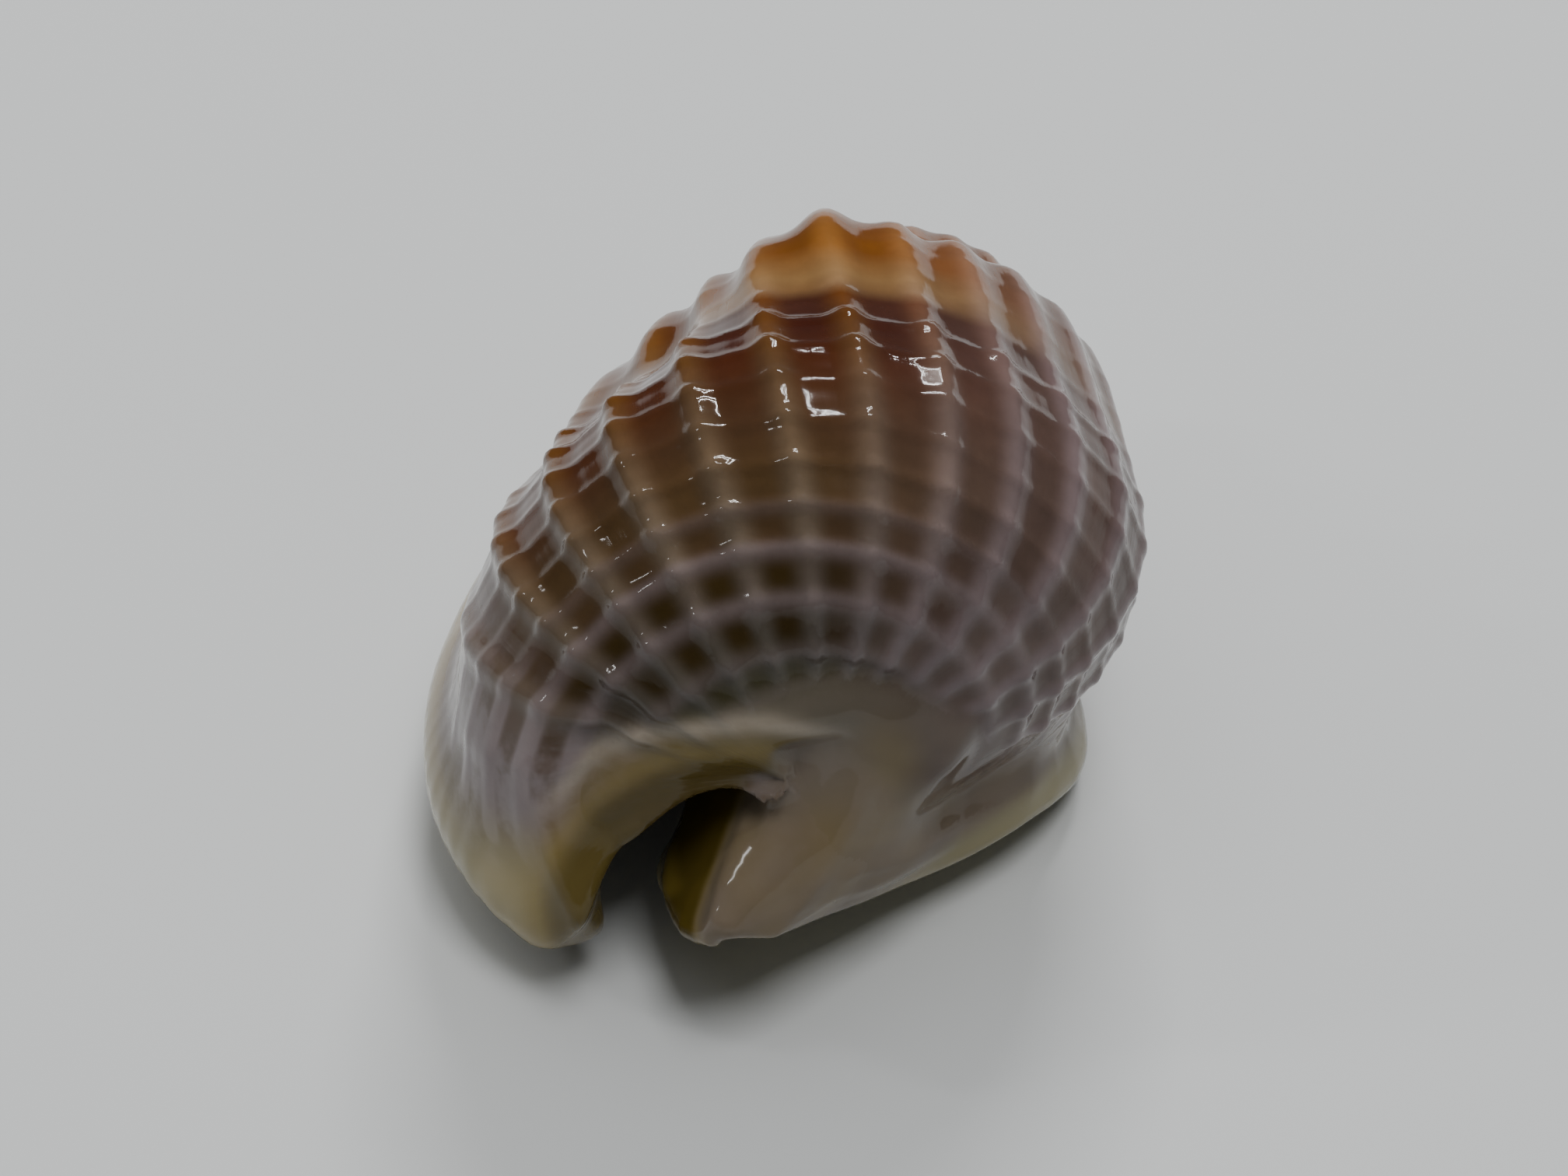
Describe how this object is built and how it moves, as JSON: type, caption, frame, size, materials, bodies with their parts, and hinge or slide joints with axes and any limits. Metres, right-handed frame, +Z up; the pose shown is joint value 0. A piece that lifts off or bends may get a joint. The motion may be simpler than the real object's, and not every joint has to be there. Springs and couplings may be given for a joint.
{
  "type": "nassa snail shell",
  "caption": "Small stout sea snail shell with a beaded surface, a short pointed spire, a thick outer lip and a smooth callus shield beside the opening.",
  "frame": {"origin": "middle of the bounding box in X and Y, at the height of the plane the shell lies on", "axes": "+Z up, from the opening to the back of the last whorl; +Y towards the tip of the spire; the outer lip is on the -X side"},
  "size_m": [0.0096, 0.0132, 0.0081],
  "materials": {
    "shell": "glossy aragonite, wet-looking, brown, grey and cream"
  },
  "bodies": {
    "root": {"shell": "shell"}
  },
  "joints": []
}
